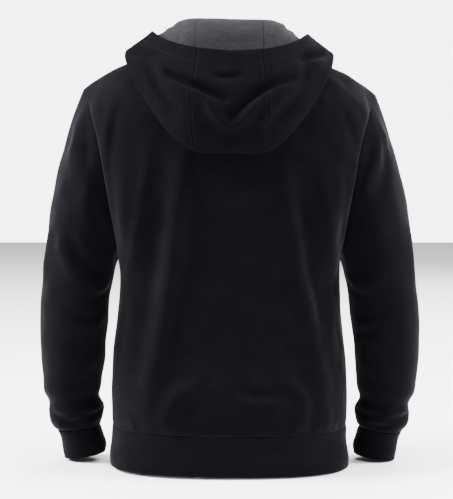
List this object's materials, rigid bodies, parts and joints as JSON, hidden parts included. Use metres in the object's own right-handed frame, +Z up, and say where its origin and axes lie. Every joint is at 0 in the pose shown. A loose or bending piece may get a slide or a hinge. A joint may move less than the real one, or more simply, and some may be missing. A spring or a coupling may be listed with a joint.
{
  "type": "zip-up hoodie",
  "caption": "Worn-form zip-up hoodie with a three-panel lined hood lying back, set-in sleeves, plain cuffs, a waistband and a zip with a hinged pull.",
  "frame": {"origin": "middle of the neck opening, level with the high points of the shoulders, where the wearer's shoulders hold the garment", "axes": "+Z up, the front faces -Y, +X is the wearer's left"},
  "size_m": [0.6118, 0.3333, 0.7159],
  "materials": {
    "black_fleece": "soft brushed nap",
    "black_band_fleece": "soft brushed nap, laid double",
    "grey_jersey": "matt heather knit",
    "black_tape": "woven tape",
    "black_metal": "black enamel"
  },
  "bodies": {
    "garment": {"back": "black_fleece", "front_left": "black_fleece", "front_right": "black_fleece", "waistband": "black_band_fleece", "sleeve_left": "black_fleece", "sleeve_right": "black_fleece", "cuff_left": "black_band_fleece", "cuff_right": "black_band_fleece", "hood_centre": "black_fleece", "hood_side_left": "black_fleece", "hood_side_right": "black_fleece", "hood_lining_centre": "grey_jersey", "hood_lining_side_left": "grey_jersey", "hood_lining_side_right": "grey_jersey", "zip_tape_left": "black_tape", "zip_tape_right": "black_tape", "zip_chain": "black_metal", "zip_slider": "black_metal"},
    "pull": {"zip_pull": "black_metal"}
  },
  "joints": [
    {"name": "pull_hinge", "type": "hinge", "parent": "garment", "child": "pull", "pos_m": [0, -0.11043, -0.10272], "axis": [-1, 0, 0], "range_deg": [0, 150]}
  ]
}
